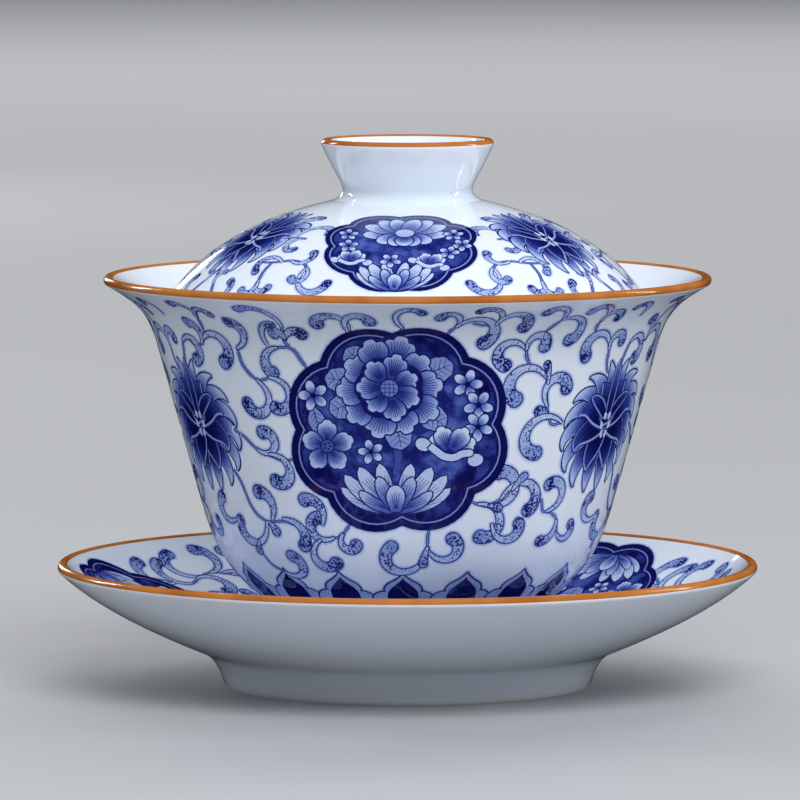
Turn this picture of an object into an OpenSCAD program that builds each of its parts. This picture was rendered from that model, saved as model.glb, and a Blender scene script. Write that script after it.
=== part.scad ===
// Gaiwan: a lidded porcelain tea bowl on its saucer.
// Three loose porcelain pieces, the saucer, the bowl and the lid, stand on one axis. Each is a solid
// of revolution. The lid's knob is a ring luted to the dome, and every lip carries a band of brown
// glaze. The origin is on the table at the middle of the saucer's foot, with +Z up, in millimetres.

/* [Saucer] */
// Diameter across the saucer's lip
saucer_d = 115.4; // [110:0.2:120]
// Height of the saucer's lip above the table
saucer_h = 20.4; // [19:0.2:22]
// Diameter across the bottom of the saucer's foot ring
saucer_foot_d = 60; // [58:0.5:62]
// Thickness of the saucer's wall
saucer_wall = 2.4; // [2:0.1:2.8]
// Depth of the well that the bowl stands in
well_depth = 1; // [0.6:0.1:1.4]

/* [Bowl] */
// Diameter across the bowl's lip
bowl_d = 100; // [97:0.5:103]
// Height of the bowl, from its foot to its lip
bowl_h = 61.7; // [60:0.1:64]
// Diameter across the bottom of the bowl's foot ring
bowl_foot_d = 41; // [38:0.5:42]
// Thickness of the bowl's wall
bowl_wall = 2.1; // [1.7:0.1:2.4]

/* [Lid] */
// Diameter across the lid's edge
lid_d = 81.8; // [80:0.2:84]
// Height of the dome, from the middle of the lid's edge to the knob's seat
dome_h = 18.6; // [17:0.2:20]
// Thickness of the lid's wall
lid_wall = 2.2; // [1.8:0.1:2.6]
// Diameter across the knob's lip
knob_d = 28.4; // [27:0.2:30]
// Diameter of the knob's neck
knob_neck_d = 21.4; // [20:0.2:22]
// Height of the knob above its seat
knob_h = 10.1; // [9:0.1:12]

/* [Glaze and fit] */
// Thickness of the brown glaze on the lips
glaze = 0.25; // [0.2:0.05:0.35]
// Gap between the lid's edge and the bowl's flare
fit_gap = 0.1; // [0.05:0.05:0.3]

/* [Hidden] */
$fn = 96;
porcelain = [0.9, 0.93, 0.97];
brown_glaze = [0.72, 0.38, 0.12];
curve_steps = 14; // chords in one curve
fillet_steps = 5; // chords in one small curve
lip_steps = 10; // chords in the round of a lip
side_steps = 3; // chords in the round beside the brown glaze

// ---- Profiles ----
// A profile is drawn from the axis outwards and back, with the porcelain on its left. It is built of
// stations. A station is [radius, height, angle of travel, length of its curve handle].

function place(station) = [station[0], station[1]];
function along(angle, length) = length * [cos(angle), sin(angle)];

// The curve from one station to the next
function curve(a, b, steps = curve_steps) =
    let (p = place(a), q = place(b), p_handle = p + along(a[2], a[3]), q_handle = q - along(b[2], b[3]))
    [for (i = [0:steps]) let (t = i / steps, u = 1 - t)
        u * u * u * p + 3 * u * u * t * p_handle + 3 * u * t * t * q_handle + t * t * t * q];

// The same station, moved to the left by the thickness of a wall
function sunk(station, wall) =
    let (p = place(station) + along(station[2] + 90, wall))
    [p[0], p[1], station[2], station[3]];

function turned(path) = [for (i = [len(path) - 1:-1:0]) path[i]];

// A path moved to its left by the same distance everywhere
function shifted(path, distance) =
    [for (i = [0:len(path) - 1])
        let (step = path[min(i + 1, len(path) - 1)] - path[max(i - 1, 0)])
        path[i] + distance * [-step[1], step[0]] / norm(step)];

// The height at which a path first crosses a radius
function height_at(path, r) =
    [for (i = [0:len(path) - 2])
        let (p = path[i], q = path[i + 1])
        if ((p[0] - r) * (q[0] - r) <= 0) p[1] + (q[1] - p[1]) * (r - p[0]) / (q[0] - p[0])][0];

// A round lip: a lip is [its middle, angle of travel, radius, glaze]. The brown glaze is [turn that it
// covers outside that angle, turn that it covers inside, reach down the inner side].
function lip(radius, height, angle, thickness, glaze_cover) =
    [[radius - thickness / 2, height - thickness / 2], angle, thickness / 2, glaze_cover];

// A round of a lip, between two turns from its angle of travel, sunk by some depth
function lip_round(lip, from, to, steps, depth = 0) =
    [for (i = [0:steps]) lip[0] + along(lip[1] + from + (to - from) * i / steps, lip[2] - depth)];

// The side of the brown glaze, outside at depth 0 or where it meets the porcelain
function glaze_side(lip, depth = 0) =
    let (cover = lip[3], end = lip[0] + along(lip[1] + cover[1], lip[2] - depth) - along(lip[1], cover[2]))
    concat(lip_round(lip, -cover[0], cover[1], lip_steps, depth), cover[2] > 0 ? [end] : []);

// The porcelain's outline from a lip's outer side round to its inner side, sunk under the brown glaze
function lip_outline(lip) =
    let (cover = lip[3])
    concat(lip_round(lip, -90, -cover[0], side_steps), glaze_side(lip, glaze),
        cover[1] < 90 ? lip_round(lip, cover[1], 90, side_steps) : []);

// Stations where a wall's outer and inner sides meet a lip
function lip_outer(lip, handle) = let (p = lip[0] + along(lip[1] - 90, lip[2])) [p[0], p[1], lip[1], handle];
function lip_inner(lip, handle) =
    let (p = lip[0] + along(lip[1] + 90, lip[2]) - along(lip[1], lip[3][2]))
    [p[0], p[1], lip[1], handle];

module glaze_band(lip) {
    color(brown_glaze) rotate_extrude()
        polygon(concat(glaze_side(lip), turned(glaze_side(lip, glaze))));
}

// ---- Saucer ----

foot_land = 1.8; // width of the bare ring that stands on the table
foot_round = 0.6; // rounding beside it
saucer_foot_r = saucer_foot_d / 2;
saucer_lip = lip(saucer_d / 2, saucer_h, 43, 1.7, [47, 90, 0.2]);
saucer_recess_z = 3.3; // underside of the floor inside the foot ring
floor_z = saucer_recess_z + 2.7; // floor of the well, where the bowl stands
well_r = bowl_foot_d / 2 + 2.4;
brim_z = floor_z + well_depth; // top of the well's edge

saucer_foot_side = [saucer_foot_r + 1, 2.3, 64, 1.5];
foot_fillet_end = [saucer_foot_r + 4.2, 5.8, 23, 1.8];
dish_start = [saucer_foot_r + 4.2, 5.8, 23, 6.5];
brim = [well_r + 1.6, brim_z, 3, 4];

module saucer_body() {
    recess = [[0, saucer_recess_z], [saucer_foot_r - foot_land - 1.8, saucer_recess_z],
        [saucer_foot_r - foot_land - 0.6, foot_round]];
    foot = [[saucer_foot_r - foot_land, 0], [saucer_foot_r, 0], [saucer_foot_r + 0.4, foot_round]];
    dish_inner = concat(curve(brim, sunk(dish_start, saucer_wall), fillet_steps),
        curve(sunk(dish_start, saucer_wall), lip_inner(saucer_lip, 9)));
    well = [[well_r + 0.6, brim_z - 0.2], [well_r, brim_z - 0.5], [well_r - 0.4, floor_z], [0, floor_z]];
    color(porcelain) rotate_extrude()
        polygon(concat(recess, foot, curve(saucer_foot_side, foot_fillet_end, fillet_steps),
            curve(dish_start, lip_outer(saucer_lip, 9)), lip_outline(saucer_lip),
            turned(dish_inner), well));
}

module saucer_rim_band() glaze_band(saucer_lip);

// ---- Bowl ----

wall_angle = 74.1; // slope of the bowl's straight side
bowl_z = floor_z;
bowl_foot_r = bowl_foot_d / 2;
bowl_lip = lip(bowl_d / 2, bowl_z + bowl_h, 29, 1.5, [61, 90, 0.5]);
bowl_recess_z = bowl_z + 3.2; // underside of the bowl's floor inside its foot ring
bowl_inside_z = bowl_recess_z + 3.2; // inside of the bowl at its middle

belly_start = [bowl_d * 0.214, bowl_z + 6.3, 41, 8];
belly_end = [bowl_d * 0.336, bowl_z + 23.2, wall_angle, 9.9];
flare_start = [bowl_d * 0.409, bowl_z + bowl_h - 12.4, wall_angle, 6];
flare_end = lip_outer(bowl_lip, 7);
flare_inner = curve(sunk(flare_start, bowl_wall), lip_inner(bowl_lip, 7));

module bowl_body() {
    recess = [[0, bowl_recess_z], [bowl_foot_r - foot_land - 1.2, bowl_recess_z],
        [bowl_foot_r - foot_land - 0.5, bowl_z + foot_round]];
    foot = [[bowl_foot_r - foot_land, bowl_z], [bowl_foot_r - 0.4, bowl_z],
        [bowl_foot_r, bowl_z + foot_round], [bowl_foot_r, bowl_z + 5]];
    inside = turned(curve([0, bowl_inside_z, 0, 17], sunk(belly_end, bowl_wall)));
    color(porcelain) rotate_extrude()
        polygon(concat(recess, foot, curve(belly_start, belly_end), curve(flare_start, flare_end),
            lip_outline(bowl_lip), turned(flare_inner), inside));
}

module bowl_rim_band() glaze_band(bowl_lip);

// ---- Lid ----

// The edge's middle lies where its round just clears the inside of the flare.
edge_middle_r = lid_d / 2 - lid_wall / 2;
edge_middle_z = height_at(shifted(flare_inner, lid_wall / 2 + fit_gap), edge_middle_r);
lid_edge = [[edge_middle_r, edge_middle_z], -59, lid_wall / 2, [0, 0, 0]];
seat_z = edge_middle_z + dome_h; // the knob's seat on top of the dome
seat_r = knob_neck_d / 2 + 1.5;

module lid_dome() {
    underside = curve([0, seat_z - lid_wall, 0, 19], lip_outer(lid_edge, 13));
    dome_start = place(lip_inner(lid_edge, 0));
    dome = curve([dome_start[0], dome_start[1], 121, 13], [seat_r, seat_z, 166.5, 10.8]);
    color(porcelain) rotate_extrude()
        polygon(concat(underside, lip_round(lid_edge, -90, 90, lip_steps), dome, [[0, seat_z]]));
}

// ---- Knob ----

knob_wall = 1.9;
knob_lip = lip(knob_d / 2, seat_z + knob_h, 67, 1.6, [60, 75, 0]);
knob_neck = [knob_neck_d / 2, seat_z + 1.9, 86, 1];

module lid_knob() {
    fillet = curve([seat_r, seat_z, 150, 0.9], knob_neck, fillet_steps);
    outside = curve(knob_neck, lip_outer(knob_lip, 3));
    inside = turned(curve(sunk(knob_neck, knob_wall), lip_inner(knob_lip, 3)));
    color(porcelain) rotate_extrude()
        polygon(concat(fillet, outside, lip_outline(knob_lip), inside,
            [[knob_neck_d / 2 - knob_wall - 1.2, seat_z]]));
}

module knob_rim_band() glaze_band(knob_lip);

saucer_body();
saucer_rim_band();
bowl_body();
bowl_rim_band();
lid_dome();
lid_knob();
knob_rim_band();
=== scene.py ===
import math

import bpy
import numpy as np
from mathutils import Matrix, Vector
from mathutils.geometry import delaunay_2d_cdt


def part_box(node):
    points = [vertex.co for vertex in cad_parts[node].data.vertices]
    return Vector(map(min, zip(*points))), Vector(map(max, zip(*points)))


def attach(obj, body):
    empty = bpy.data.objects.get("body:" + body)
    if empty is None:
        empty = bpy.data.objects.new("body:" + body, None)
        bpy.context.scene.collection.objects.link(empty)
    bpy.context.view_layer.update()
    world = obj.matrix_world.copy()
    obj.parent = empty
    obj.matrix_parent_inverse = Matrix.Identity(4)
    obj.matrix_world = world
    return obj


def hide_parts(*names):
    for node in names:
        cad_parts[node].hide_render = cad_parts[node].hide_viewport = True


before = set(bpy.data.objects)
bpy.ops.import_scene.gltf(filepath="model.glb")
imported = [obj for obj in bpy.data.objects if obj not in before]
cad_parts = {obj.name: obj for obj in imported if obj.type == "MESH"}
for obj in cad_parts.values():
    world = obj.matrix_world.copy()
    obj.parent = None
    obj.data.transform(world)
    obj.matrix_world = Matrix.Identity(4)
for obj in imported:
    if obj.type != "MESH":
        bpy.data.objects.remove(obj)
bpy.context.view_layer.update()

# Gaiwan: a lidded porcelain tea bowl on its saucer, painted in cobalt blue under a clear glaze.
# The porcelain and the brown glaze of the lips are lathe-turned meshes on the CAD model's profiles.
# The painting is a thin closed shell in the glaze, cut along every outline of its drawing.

MM = 0.001

# ---- Driving dimensions, in millimetres ----


def across(node):
    """Diameter of a CAD node."""
    low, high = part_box(node)
    return (high.x - low.x) / MM


def top_of(node):
    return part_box(node)[1].z / MM


# Diameters (D) are of a lip or a foot ring, and heights (TOP, Z) are above the table.
SAUCER_D = across("saucer_rim_band")
SAUCER_TOP = top_of("saucer_rim_band")
SAUCER_FOOT_D = 60.0
SAUCER_WALL = 2.4
WELL_DEPTH = 1.0
BOWL_D = across("bowl_rim_band")
BOWL_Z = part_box("bowl_body")[0].z / MM
BOWL_TOP = top_of("bowl_rim_band")
BOWL_FOOT_D = 41.0
BOWL_WALL = 2.1
WALL_ANGLE = 74.1  # slope of the bowl's straight side
LID_D = across("lid_dome")
SEAT_Z = top_of("lid_dome")  # seat of the knob
DOME_H = 18.6
LID_WALL = 2.2
KNOB_D = across("knob_rim_band")
KNOB_TOP = top_of("knob_rim_band")
KNOB_NECK_D = 21.4
KNOB_WALL = 1.9
GLAZE = 0.25  # thickness of the brown glaze
FOOT_LAND = 1.8  # width of a foot's bare ring
FOOT_ROUND = 0.6

SEGMENTS = 360  # round the axis
CURVE_STEPS = 44
FILLET_STEPS = 12
LIP_STEPS = 16
SIDE_STEPS = 5  # in the round of a lip beside its brown glaze
SAME_PLACE = 0.001  # nearer than this, two points of a profile are one

# ---- Profiles ----
# A profile runs from the axis outwards and back, with the porcelain on its left. A station on it
# is (radius, height, angle of travel, length of its curve handle). A lip is (its middle, angle of
# travel, radius, glaze), and the brown glaze is (turn that it covers outside that angle, turn that
# it covers inside, reach down the inner side).


def along(angle, length):
    turn = math.radians(angle)
    return length * np.array([math.cos(turn), math.sin(turn)])


def curve(a, b, steps=CURVE_STEPS):
    start, end = np.array(a[:2]), np.array(b[:2])
    start_handle = start + along(a[2], a[3])
    end_handle = end - along(b[2], b[3])
    t = np.linspace(0, 1, steps + 1)[:, None]
    u = 1 - t
    return u**3 * start + 3 * u * u * t * start_handle + 3 * u * t * t * end_handle + t**3 * end


def sunk(station, wall):
    """The same station, moved left by a wall's thickness."""
    r, z = np.array(station[:2]) + along(station[2] + 90, wall)
    return (r, z, station[2], station[3])


def lip(diameter, height, angle, thickness, cover=(0, 0, 0)):
    middle = np.array([diameter / 2 - thickness / 2, height - thickness / 2])
    return (middle, angle, thickness / 2, cover)


def lip_round(a_lip, start, end, depth=0.0, steps=LIP_STEPS):
    """Round of a lip between two turns from its angle of travel, sunk by a depth."""
    middle, angle, radius = a_lip[:3]
    turns = angle + np.linspace(start, end, steps + 1)
    return np.array([middle + along(turn, radius - depth) for turn in turns])


def glaze_side(a_lip, depth=0.0):
    """Side of the brown glaze: the outer at depth 0, or the one on the porcelain."""
    outside, inside_turn, reach = a_lip[3]
    side = lip_round(a_lip, -outside, inside_turn, depth)
    if reach:
        side = np.vstack([side, side[-1] - along(a_lip[1], reach)])
    return side


def lip_outline(a_lip):
    """The porcelain from a lip's outer side round to its inner side, sunk under the glaze."""
    outside, inside_turn, _ = a_lip[3]
    parts = [lip_round(a_lip, -90, -outside, steps=SIDE_STEPS), glaze_side(a_lip, GLAZE)]
    if inside_turn < 90:
        parts.append(lip_round(a_lip, inside_turn, 90, steps=SIDE_STEPS))
    return np.vstack(parts)


def lip_outer(a_lip, handle):
    r, z = lip_round(a_lip, -90, 90)[0]
    return (r, z, a_lip[1], handle)


def lip_inner(a_lip, handle):
    r, z = lip_round(a_lip, -90, 90)[-1] - along(a_lip[1], a_lip[3][2])
    return (r, z, a_lip[1], handle)


def joined(*paths):
    """Paths end to end, without repeated points."""
    path = np.vstack(paths)
    hops = np.hypot(*np.diff(path, axis=0).T)
    return path[np.r_[True, hops > SAME_PLACE]]


saucer_foot_r = SAUCER_FOOT_D / 2
bowl_foot_r = BOWL_FOOT_D / 2
saucer_lip = lip(SAUCER_D, SAUCER_TOP, 43, 1.7, (47, 90, 0.2))
bowl_lip = lip(BOWL_D, BOWL_TOP, 29, 1.5, (61, 90, 0.5))
knob_lip = lip(KNOB_D, KNOB_TOP, 67, 1.6, (60, 75, 0))

floor_z = BOWL_Z
well_r = bowl_foot_r + 2.4
brim_z = floor_z + WELL_DEPTH
dish_r, dish_z, dish_slope = saucer_foot_r + 4.2, 5.8, 23  # where the dish springs from its foot
dish_start = (dish_r, dish_z, dish_slope, 6.5)
dish_inside = joined(
    curve((well_r + 1.6, brim_z, 3, 4), sunk(dish_start, SAUCER_WALL), FILLET_STEPS),
    curve(sunk(dish_start, SAUCER_WALL), lip_inner(saucer_lip, 9)),
)[::-1]

belly_end = (BOWL_D * 0.336, BOWL_Z + 23.2, WALL_ANGLE, 9.9)
flare_start = (BOWL_D * 0.409, BOWL_TOP - 12.4, WALL_ANGLE, 6)
bowl_side = joined(
    curve((BOWL_D * 0.214, BOWL_Z + 6.3, 41, 8), belly_end),
    curve(belly_end, flare_start, FILLET_STEPS),
    curve(flare_start, lip_outer(bowl_lip, 7)),
)

edge_middle = np.array([LID_D / 2 - LID_WALL / 2, SEAT_Z - DOME_H])
lid_edge = (edge_middle, -59, LID_WALL / 2, (0, 0, 0))
dome_foot = lip_inner(lid_edge, 0)
seat_r = KNOB_NECK_D / 2 + 1.5
dome = curve((dome_foot[0], dome_foot[1], 121, 13), (seat_r, SEAT_Z, 166.5, 10.8))


def saucer_profile():
    recess_z = 3.3
    land_r = saucer_foot_r - FOOT_LAND
    recess = [[0, recess_z], [land_r - 1.8, recess_z], [land_r - 0.6, FOOT_ROUND]]
    foot = [[land_r, 0], [saucer_foot_r, 0], [saucer_foot_r + 0.4, FOOT_ROUND]]
    side_end = (dish_r, dish_z, dish_slope, 1.8)
    foot_side = curve((saucer_foot_r + 1, 2.3, 64, 1.5), side_end, FILLET_STEPS)
    underside = curve(dish_start, lip_outer(saucer_lip, 9))
    well_edge = [[well_r + 0.6, brim_z - 0.2], [well_r, brim_z - 0.5]]
    well = well_edge + [[well_r - 0.4, floor_z], [0, floor_z]]
    return joined(recess, foot, foot_side, underside, lip_outline(saucer_lip), dish_inside, well)


def bowl_profile():
    recess_z = BOWL_Z + 3.2
    land_r = bowl_foot_r - FOOT_LAND
    recess = [[0, recess_z], [land_r - 1.2, recess_z], [land_r - 0.5, BOWL_Z + FOOT_ROUND]]
    foot = [[land_r, BOWL_Z], [bowl_foot_r - 0.4, BOWL_Z]]
    foot_side = [[bowl_foot_r, BOWL_Z + FOOT_ROUND], [bowl_foot_r, BOWL_Z + 5]]
    inner_flare = curve(sunk(flare_start, BOWL_WALL), lip_inner(bowl_lip, 7))[::-1]
    inside = curve((0, recess_z + 3.2, 0, 17), sunk(belly_end, BOWL_WALL))[::-1]
    rim = lip_outline(bowl_lip)
    return joined(recess, foot, foot_side, bowl_side, rim, inner_flare, inside)


def lid_profile():
    underside = curve((0, SEAT_Z - LID_WALL, 0, 19), lip_outer(lid_edge, 13))
    return joined(underside, lip_round(lid_edge, -90, 90), dome, [[0, SEAT_Z]])


def knob_profile():
    neck = (KNOB_NECK_D / 2, SEAT_Z + 1.9, 86, 1)
    fillet = curve((seat_r, SEAT_Z, 150, 0.9), neck, FILLET_STEPS)
    outside = curve(neck, lip_outer(knob_lip, 3))
    inside = curve(sunk(neck, KNOB_WALL), lip_inner(knob_lip, 3))[::-1]
    seat = [[KNOB_NECK_D / 2 - KNOB_WALL - 1.2, SEAT_Z]]
    return joined(fillet, outside, lip_outline(knob_lip), inside, seat)


# ---- Materials ----


class Graph:
    """A material's nodes, with short calls."""

    def __init__(self, name):
        self.material = bpy.data.materials.new(name)
        self.material.use_nodes = True
        self.tree = self.material.node_tree
        self.shader = self.tree.nodes["Principled BSDF"]
        self.place = self.add("ShaderNodeTexCoord").outputs["Object"]

    def add(self, kind, **settings):
        node = self.tree.nodes.new(kind)
        for name, value in settings.items():
            setattr(node, name, value)
        return node

    def feed(self, sockets, *values):
        """Links or sets sockets in turn. A colour is a tuple."""
        for socket, value in zip(sockets, values):
            if isinstance(value, bpy.types.NodeSocket):
                self.tree.links.new(value, socket)
            else:
                socket.default_value = (*value, 1.0) if isinstance(value, tuple) else value

    def shade(self, name, value):
        self.feed([self.shader.inputs[name]], value)

    def math(self, operation, *values):
        node = self.add("ShaderNodeMath", operation=operation)
        self.feed(node.inputs, *values)
        return node.outputs[0]

    def noise(self, scale, detail=2.0):
        node = self.add("ShaderNodeTexNoise")
        sockets = [node.inputs[name] for name in ("Vector", "Scale", "Detail")]
        self.feed(sockets, self.place, scale, detail)
        return node.outputs["Fac"]

    def spots(self, scale):
        """Distance from the nearest scattered point."""
        node = self.add("ShaderNodeTexVoronoi")
        self.feed([node.inputs["Vector"], node.inputs["Scale"]], self.place, scale)
        return node.outputs["Distance"]

    def steps(self, value, low, high, at_low=0.0, at_high=1.0):
        node = self.add("ShaderNodeMapRange", interpolation_type="SMOOTHSTEP")
        self.feed(node.inputs, value, low, high, at_low, at_high)
        return node.outputs["Result"]

    def attribute(self, name, output="Fac"):
        return self.add("ShaderNodeAttribute", attribute_name=name).outputs[output]

    def mix(self, factor, a, b):
        node = self.add("ShaderNodeMix", data_type="RGBA")
        self.feed([node.inputs[k] for k in (0, 6, 7)], factor, a, b)
        return node.outputs[2]

    def ramp(self, value, stops):
        node = self.add("ShaderNodeValToRGB")
        self.feed(node.inputs, value)
        elements = node.color_ramp.elements
        while len(elements) < len(stops):
            elements.new(1.0)
        for element, (position, colour) in zip(elements, stops):
            element.position = position
            element.color = (*colour, 1.0)
        return node.outputs[0]

    def bump(self, height, strength, distance):
        node = self.add("ShaderNodeBump")
        sockets = [node.inputs[name] for name in ("Height", "Strength", "Distance")]
        self.feed(sockets, height, strength, distance)
        self.shade("Normal", node.outputs[0])


WHITE = (0.77, 0.82, 0.89)
POOLED = (0.56, 0.67, 0.76)  # where the glaze is thick
THIN = (0.80, 0.83, 0.87)  # where it is thin
CLAY = (0.66, 0.61, 0.54)
SPECK = (0.30, 0.26, 0.22)


def clear_glaze(graph, bare=None):
    """The fired surface: glossy, faintly swelling like orange skin, and dull on bare clay."""
    gloss = graph.steps(graph.noise(90, 3), 0.35, 0.7, 0.045, 0.085)
    if bare is not None:
        gloss = graph.math("MAXIMUM", gloss, graph.math("MULTIPLY", bare, 0.55))
    graph.shade("Roughness", gloss)
    graph.shade("IOR", 1.52)
    fine = graph.math("MULTIPLY", graph.noise(900, 2), 0.12)
    graph.bump(graph.math("ADD", graph.noise(160, 2), fine), 0.05, 0.0006)


def porcelain():
    """White body under clear glaze, greyer where it pools, with rare specks and bare feet."""
    graph = Graph("porcelain")
    bare = graph.attribute("bare")
    depth = graph.attribute("depth")
    pooled = graph.math("MULTIPLY", graph.math("MAXIMUM", depth, 0.0), 0.6)
    tone = graph.mix(pooled, WHITE, POOLED)
    shallow = graph.math("MAXIMUM", graph.math("MULTIPLY", depth, -1), 0.0)
    tone = graph.mix(graph.math("MULTIPLY", shallow, 0.8), tone, THIN)
    cloud = graph.steps(graph.noise(45, 4), 0.3, 0.75, 0.0, 0.16)
    tone = graph.mix(cloud, tone, POOLED)
    speck = graph.steps(graph.spots(240), 0.035, 0.055, 0.5, 0.0)
    rare = graph.steps(graph.noise(70, 1), 0.66, 0.7)
    tone = graph.mix(graph.math("MULTIPLY", speck, rare), tone, SPECK)
    tone = graph.mix(bare, tone, CLAY)
    graph.shade("Base Color", tone)
    clear_glaze(graph, bare)
    return graph.material


# Colour of the cobalt by its strength
COBALT = [
    (0.00, WHITE),
    (0.14, (0.45, 0.55, 0.80)),
    (0.30, (0.21, 0.29, 0.61)),
    (0.48, (0.085, 0.125, 0.42)),
    (0.64, (0.030, 0.050, 0.27)),
    (0.82, (0.009, 0.012, 0.130)),
    (1.00, (0.003, 0.003, 0.055)),
]


def cobalt():
    """Cobalt under the glaze. The attribute holds the wash, its stipple and its mottling."""
    graph = Graph("cobalt_blue")
    channels = graph.add("ShaderNodeSeparateColor")
    graph.feed(channels.inputs, graph.attribute("cobalt", "Color"))
    strength, stipple, mottle = channels.outputs
    clouds = graph.steps(graph.noise(330, 4), 0.32, 0.68, -0.5, 0.5)
    strength = graph.math("MULTIPLY_ADD", clouds, graph.math("MULTIPLY", mottle, 0.34), strength)
    grain = graph.steps(graph.noise(2600, 2), 0.3, 0.7, -0.03, 0.03)
    strength = graph.math("ADD", strength, grain)
    size = graph.math("MULTIPLY", stipple, graph.steps(graph.noise(420, 2), 0.35, 0.65, 0.34, 0.72))
    dot = graph.steps(graph.math("SUBTRACT", size, graph.spots(2500)), -0.05, 0.06, 0.0, 0.55)
    strength = graph.math("ADD", strength, dot)
    graph.shade("Base Color", graph.ramp(strength, COBALT))
    clear_glaze(graph)
    return graph.material


def brown_glaze():
    """Iron-brown glaze, brushed round a lip: thin and orange on the edge, darker where it pools."""
    graph = Graph("brown_glaze")
    pooled = graph.steps(graph.noise(90, 3), 0.35, 0.7)
    tone = graph.mix(pooled, (0.52, 0.185, 0.040), (0.38, 0.115, 0.020))
    blot = graph.steps(graph.noise(30, 2), 0.70, 0.76, 0.0, 0.7)
    tone = graph.mix(blot, tone, (0.20, 0.045, 0.014))
    graph.shade("Base Color", tone)
    graph.shade("Roughness", graph.steps(graph.noise(300, 3), 0.35, 0.7, 0.10, 0.20))
    graph.bump(graph.noise(420, 3), 0.12, 0.0004)
    return graph.material


def pale_floor():
    graph = Graph("pale_floor")
    tone = graph.mix(graph.noise(3, 3), (0.42, 0.425, 0.435), (0.47, 0.47, 0.475))
    graph.shade("Base Color", tone)
    graph.shade("Roughness", 0.55)
    return graph.material


PORCELAIN = porcelain()
COBALT_BLUE = cobalt()
BROWN_GLAZE = brown_glaze()
FINISHES = {"porcelain": PORCELAIN, "brown_glaze": BROWN_GLAZE}

# ---- Lathe-turned pieces ----


def glaze_depth(profile):
    """Along a profile, how far the glaze pools in hollows (above 0) or thins out on edges."""
    hops = np.diff(profile, axis=0)
    angles = np.unwrap(np.arctan2(hops[:, 1], hops[:, 0]))
    lengths = np.hypot(*hops.T)
    places = np.r_[0, np.cumsum(lengths)]
    bends = np.r_[0, -np.diff(angles), 0]
    spread = 1.2
    depth = [np.sum(bends * np.exp(-(((places - p) / spread) ** 2))) for p in places]
    return np.clip(depth, -1, 1)


def on_axis(profile):
    return profile[:, 0] < SAME_PLACE


def rings_of(profile):
    """Points round the axis, in metres, and the numbers of each ring of them."""
    turns = np.radians(np.arange(SEGMENTS) * 360 / SEGMENTS)
    verts, rings = [], []
    for (r, z), single in zip(profile * MM, on_axis(profile)):
        if single:
            rings.append([len(verts)] * SEGMENTS)
            verts.append((0, 0, z))
        else:
            rings.append(range(len(verts), len(verts) + SEGMENTS))
            verts.extend((r * math.sin(a), -r * math.cos(a), z) for a in turns)
    return verts, rings


def faces_between(rings, heights):
    """Faces from ring to ring, and their corners' places in a map where each ring has a height."""
    faces, map_places = [], []
    for low, high, low_v, high_v in zip(rings, rings[1:], heights, heights[1:]):
        for k in range(SEGMENTS):
            n = (k + 1) % SEGMENTS
            corners = [(low[k], k, low_v)]
            if low[k] != low[n]:
                corners.append((low[n], k + 1, low_v))
            corners.append((high[n], k + 1, high_v))
            if high[k] != high[n]:
                corners.append((high[k], k, high_v))
            faces.append([number for number, _, _ in corners])
            map_places.extend((u / SEGMENTS, v) for _, u, v in corners)
    return faces, map_places


def piece_of(mesh, material, map_places):
    mesh.uv_layers.new(name="OFBake").data.foreach_set("uv", map_places.ravel())
    mesh.materials.append(material)
    piece = bpy.data.objects.new(mesh.name, mesh)
    bpy.context.collection.objects.link(piece)
    return piece


def lathe(name, profile, material, foot_z=None):
    """A solid of revolution of a profile. At the height of its foot it is bare."""
    verts, rings = rings_of(profile)
    lengths = np.r_[0, np.cumsum(np.hypot(*np.diff(profile, axis=0).T))]
    heights = list(lengths / lengths[-1])
    if not on_axis(profile).any():
        rings.append(rings[0])
        heights = [0.98 * v for v in heights] + [1.0]
    faces, map_places = faces_between(rings, heights)
    mesh = bpy.data.meshes.new(name)
    mesh.from_pydata(verts, [], faces)
    mesh.polygons.foreach_set("use_smooth", [True] * len(faces))
    rows = np.repeat(np.arange(len(profile)), np.where(on_axis(profile), 1, SEGMENTS))
    depths = glaze_depth(profile)[rows]
    mesh.attributes.new("depth", "FLOAT", "POINT").data.foreach_set("value", depths)
    bare = np.zeros(len(verts))
    if foot_z is not None:
        bare = (profile[rows, 1] < foot_z + 0.01).astype(float)
    mesh.attributes.new("bare", "FLOAT", "POINT").data.foreach_set("value", bare)
    mesh.set_sharp_from_angle(angle=math.radians(32))
    return piece_of(mesh, material, np.array(map_places))


def turned_piece(name, profile, body, node, slot, foot_z=None):
    piece = lathe(name, profile, FINISHES[slot], foot_z)
    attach(piece, body)
    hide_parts(node)
    return piece


dish = turned_piece("saucer_porcelain", saucer_profile(), "saucer", "saucer_body", "porcelain", 0)
dish.visible_glossy = False  # so the lappets on the bowl stay dark
turned_piece("bowl_porcelain", bowl_profile(), "bowl", "bowl_body", "porcelain", BOWL_Z)
turned_piece("lid_porcelain", lid_profile(), "lid", "lid_dome", "porcelain")
turned_piece("knob_porcelain", knob_profile(), "lid", "lid_knob", "porcelain")
lips = (("saucer", "saucer", saucer_lip), ("bowl", "bowl", bowl_lip), ("knob", "lid", knob_lip))
for place, body, a_lip in lips:
    band = joined(glaze_side(a_lip), glaze_side(a_lip, GLAZE)[::-1])
    turned_piece(f"{place}_brown_lip", band, body, f"{place}_rim_band", "brown_glaze")

# ---- Flat drawing ----
# A drawing lies flat. Its places are complex numbers, x + y * 1j, in millimetres, and its outlines
# run counter-clockwise. A shape is (outline, paint): paint takes places and gives for each of them
# the strength of the cobalt wash, of its stipple and of its mottling. Later shapes lie over earlier
# ones. Single motifs grow from the origin along x.

LINE = 0.24  # width of the line round a shape
INK = 0.80  # strength of that line
BLEED = 0.45  # how far the cobalt has bled into the glaze


def heading(degrees):
    return np.exp(1j * np.radians(degrees))


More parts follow.
